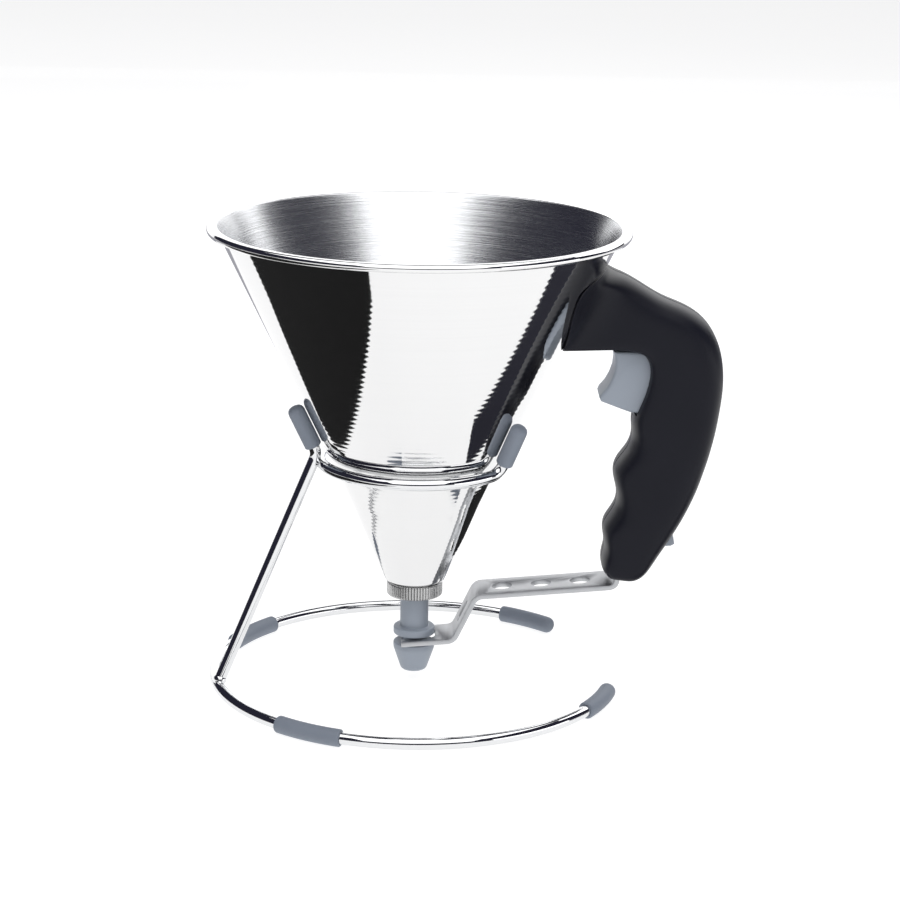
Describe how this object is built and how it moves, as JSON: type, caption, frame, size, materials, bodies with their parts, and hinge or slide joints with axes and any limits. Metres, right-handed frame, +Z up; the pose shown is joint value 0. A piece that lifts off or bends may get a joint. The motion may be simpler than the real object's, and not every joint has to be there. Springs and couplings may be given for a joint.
{
  "type": "pancake batter dispenser",
  "caption": "Polished steel funnel with a squeeze handle: its trigger rocks a forked arm that lifts the outlet nozzle and valve, and the funnel stands in a bent wire stand.",
  "frame": {"origin": "middle of the footprint of the whole object, on the table it stands on", "axes": "+X from the funnel towards the handle, +Y towards the side that the heads of the handle's screws face, +Z up along the funnel's axis"},
  "size_m": [0.1968, 0.1604, 0.1807],
  "materials": {
    "polished_steel": "mirror polished outside with fine spun rings, circular brushed inside",
    "chromed_wire": "bright",
    "satin_steel": "satin",
    "knurled_steel": "fine straight knurl",
    "pin_steel": "plain turned",
    "grey_rubber": "matt",
    "dark_seal_rubber": "matt",
    "pale_grey_plastic": "fine satin",
    "white_bearing_plastic": "smooth",
    "black_grip_plastic": "soft satin"
  },
  "bodies": {
    "stand": {"base_ring": "chromed_wire", "base_end_caps": "grey_rubber", "base_sleeves": "grey_rubber", "support_leg": "chromed_wire", "leg_sleeve": "grey_rubber", "cradle_ring": "chromed_wire", "cradle_sleeves": "grey_rubber"},
    "funnel": {"funnel_cone": "polished_steel", "threaded_spigot": "polished_steel", "guide_bush": "white_bearing_plastic", "cone_bracket": "satin_steel", "handle_shell_left": "black_grip_plastic", "handle_shell_right": "black_grip_plastic", "saddle_left": "black_grip_plastic", "saddle_right": "black_grip_plastic", "shell_screws": "pin_steel", "lever_pin": "pin_steel", "latch_pin": "pin_steel"},
    "gasket": {"collar_gasket": "dark_seal_rubber"},
    "collar": {"knurled_collar": "knurled_steel"},
    "nozzle": {"outlet_nozzle": "pale_grey_plastic", "valve_head": "pale_grey_plastic", "valve_seal": "dark_seal_rubber"},
    "lever": {"lift_arm": "satin_steel", "arm_rivets": "satin_steel", "trigger": "pale_grey_plastic", "lever_bush": "white_bearing_plastic", "return_spring": "pin_steel"},
    "latch": {"release_latch": "pale_grey_plastic", "latch_spring": "pin_steel"}
  },
  "joints": [
    {"name": "funnel_lift", "type": "slide", "parent": "stand", "child": "funnel", "axis": [0, 0, 1], "range_m": [0, 0.25]},
    {"name": "lever_pivot", "type": "hinge", "parent": "funnel", "child": "lever", "pos_m": [0.07022, 0, 0.057], "axis": [0, 1, 0], "range_deg": [0, 4.87], "stiffness_Nm_per_rad": 2, "springref_deg": -5.73},
    {"name": "nozzle_lift", "type": "slide", "parent": "funnel", "child": "nozzle", "axis": [0, 0, 1], "range_m": [0, 0.0076]},
    {"name": "collar_drop", "type": "slide", "parent": "funnel", "child": "gasket", "axis": [0, 0, -1], "range_m": [0, 0.0038]},
    {"name": "collar_turn", "type": "hinge", "parent": "gasket", "child": "collar", "pos_m": [-0.01817, 0, 0.038], "axis": [0, 0, -1], "range_deg": [0, 900]},
    {"name": "latch_hinge", "type": "hinge", "parent": "funnel", "child": "latch", "pos_m": [0.07792, 0, 0.0665], "axis": [0, 1, 0], "range_deg": [0, 8], "stiffness_Nm_per_rad": 0.05, "springref_deg": -11.46}
  ],
  "couplings": [
    {"joint": "nozzle_lift", "follows": "lever_pivot", "m_per_rad": 0.0885},
    {"joint": "collar_drop", "follows": "collar_turn", "m_per_rad": 0.0002387}
  ]
}
